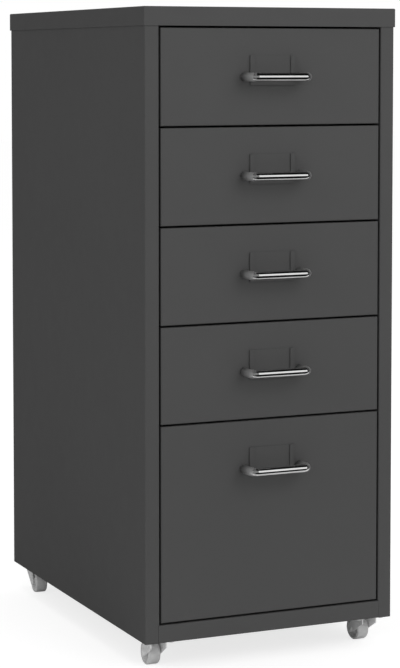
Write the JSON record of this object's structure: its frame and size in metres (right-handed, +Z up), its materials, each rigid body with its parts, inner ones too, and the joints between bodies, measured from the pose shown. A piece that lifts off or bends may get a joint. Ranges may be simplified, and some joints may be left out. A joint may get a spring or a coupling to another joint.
{
  "type": "rolling drawer cabinet",
  "caption": "Tall narrow rolling cabinet of folded grey sheet steel, with flush drawers on ledge runners, bent wire pulls over label holders, and small swivel casters.",
  "frame": {"origin": "on the floor under the middle of the whole cabinet, pulls and rear screw heads included", "axes": "+Z up, the drawers face -Y and open that way, +X to the right of someone facing them"},
  "size_m": [0.287, 0.4396, 0.6816],
  "materials": {
    "case_paint": "satin",
    "inner_paint": "satin",
    "chrome": "polished",
    "zinc_steel": "bright zinc",
    "wheel_plastic": "matte"
  },
  "bodies": {
    "case": {"left_side_panel": "case_paint", "right_side_panel": "case_paint", "back_panel": "case_paint", "top_cover": "case_paint", "base_pan": "case_paint", "case_screws": "zinc_steel", "drawer_1_left_runner": "inner_paint", "drawer_1_right_runner": "inner_paint", "drawer_2_left_runner": "inner_paint", "drawer_2_right_runner": "inner_paint", "drawer_3_left_runner": "inner_paint", "drawer_3_right_runner": "inner_paint", "drawer_4_left_runner": "inner_paint", "drawer_4_right_runner": "inner_paint", "drawer_5_left_runner": "inner_paint", "drawer_5_right_runner": "inner_paint", "top_keeper_left": "inner_paint", "top_keeper_right": "inner_paint", "caster_plates": "zinc_steel", "caster_screws": "zinc_steel", "caster_kingpins": "zinc_steel"},
    "drawer_1": {"drawer_1_front": "case_paint", "drawer_1_box": "inner_paint", "drawer_1_handle": "chrome", "drawer_1_handle_screws": "zinc_steel", "drawer_1_label_holder": "case_paint"},
    "drawer_2": {"drawer_2_front": "case_paint", "drawer_2_box": "inner_paint", "drawer_2_handle": "chrome", "drawer_2_handle_screws": "zinc_steel", "drawer_2_label_holder": "case_paint"},
    "drawer_3": {"drawer_3_front": "case_paint", "drawer_3_box": "inner_paint", "drawer_3_handle": "chrome", "drawer_3_handle_screws": "zinc_steel", "drawer_3_label_holder": "case_paint"},
    "drawer_4": {"drawer_4_front": "case_paint", "drawer_4_box": "inner_paint", "drawer_4_handle": "chrome", "drawer_4_handle_screws": "zinc_steel", "drawer_4_label_holder": "case_paint"},
    "drawer_5": {"drawer_5_front": "case_paint", "drawer_5_box": "inner_paint", "drawer_5_handle": "chrome", "drawer_5_handle_screws": "zinc_steel", "drawer_5_label_holder": "case_paint"},
    "caster_fl": {"caster_fl_fork": "zinc_steel", "caster_fl_axle": "zinc_steel"},
    "wheel_fl": {"caster_fl_wheel": "wheel_plastic"},
    "caster_fr": {"caster_fr_fork": "zinc_steel", "caster_fr_axle": "zinc_steel"},
    "wheel_fr": {"caster_fr_wheel": "wheel_plastic"},
    "caster_rl": {"caster_rl_fork": "zinc_steel", "caster_rl_axle": "zinc_steel"},
    "wheel_rl": {"caster_rl_wheel": "wheel_plastic"},
    "caster_rr": {"caster_rr_fork": "zinc_steel", "caster_rr_axle": "zinc_steel"},
    "wheel_rr": {"caster_rr_wheel": "wheel_plastic"}
  },
  "joints": [
    {"name": "drawer_1_slide", "type": "slide", "parent": "case", "child": "drawer_1", "axis": [0, -1, 0], "range_m": [0, 0.3]},
    {"name": "drawer_2_slide", "type": "slide", "parent": "case", "child": "drawer_2", "axis": [0, -1, 0], "range_m": [0, 0.3]},
    {"name": "drawer_3_slide", "type": "slide", "parent": "case", "child": "drawer_3", "axis": [0, -1, 0], "range_m": [0, 0.3]},
    {"name": "drawer_4_slide", "type": "slide", "parent": "case", "child": "drawer_4", "axis": [0, -1, 0], "range_m": [0, 0.3]},
    {"name": "drawer_5_slide", "type": "slide", "parent": "case", "child": "drawer_5", "axis": [0, -1, 0], "range_m": [0, 0.3]},
    {"name": "caster_fl_swivel", "type": "hinge", "parent": "case", "child": "caster_fl", "pos_m": [-0.1225, -0.1688, 0.0276], "axis": [0, 0, 1], "continuous": true},
    {"name": "wheel_fl_spin", "type": "hinge", "parent": "caster_fl", "child": "wheel_fl", "pos_m": [-0.12208, -0.15681, 0.0125], "axis": [0.9994, -0.0349, 0], "continuous": true},
    {"name": "caster_fr_swivel", "type": "hinge", "parent": "case", "child": "caster_fr", "pos_m": [0.1225, -0.1688, 0.0276], "axis": [0, 0, 1], "continuous": true},
    {"name": "wheel_fr_spin", "type": "hinge", "parent": "caster_fr", "child": "wheel_fr", "pos_m": [0.12166, -0.15683, 0.0125], "axis": [0.9976, 0.0698, 0], "continuous": true},
    {"name": "caster_rl_swivel", "type": "hinge", "parent": "case", "child": "caster_rl", "pos_m": [-0.1225, 0.1932, 0.0276], "axis": [0, 0, 1], "continuous": true},
    {"name": "wheel_rl_spin", "type": "hinge", "parent": "caster_rl", "child": "wheel_rl", "pos_m": [-0.12355, 0.18125, 0.0125], "axis": [-0.9962, 0.0872, 0], "continuous": true},
    {"name": "caster_rr_swivel", "type": "hinge", "parent": "case", "child": "caster_rr", "pos_m": [0.1225, 0.1932, 0.0276], "axis": [0, 0, 1], "continuous": true},
    {"name": "wheel_rr_spin", "type": "hinge", "parent": "caster_rr", "child": "wheel_rr", "pos_m": [0.12396, 0.18129, 0.0125], "axis": [-0.9925, -0.1219, 0], "continuous": true}
  ]
}
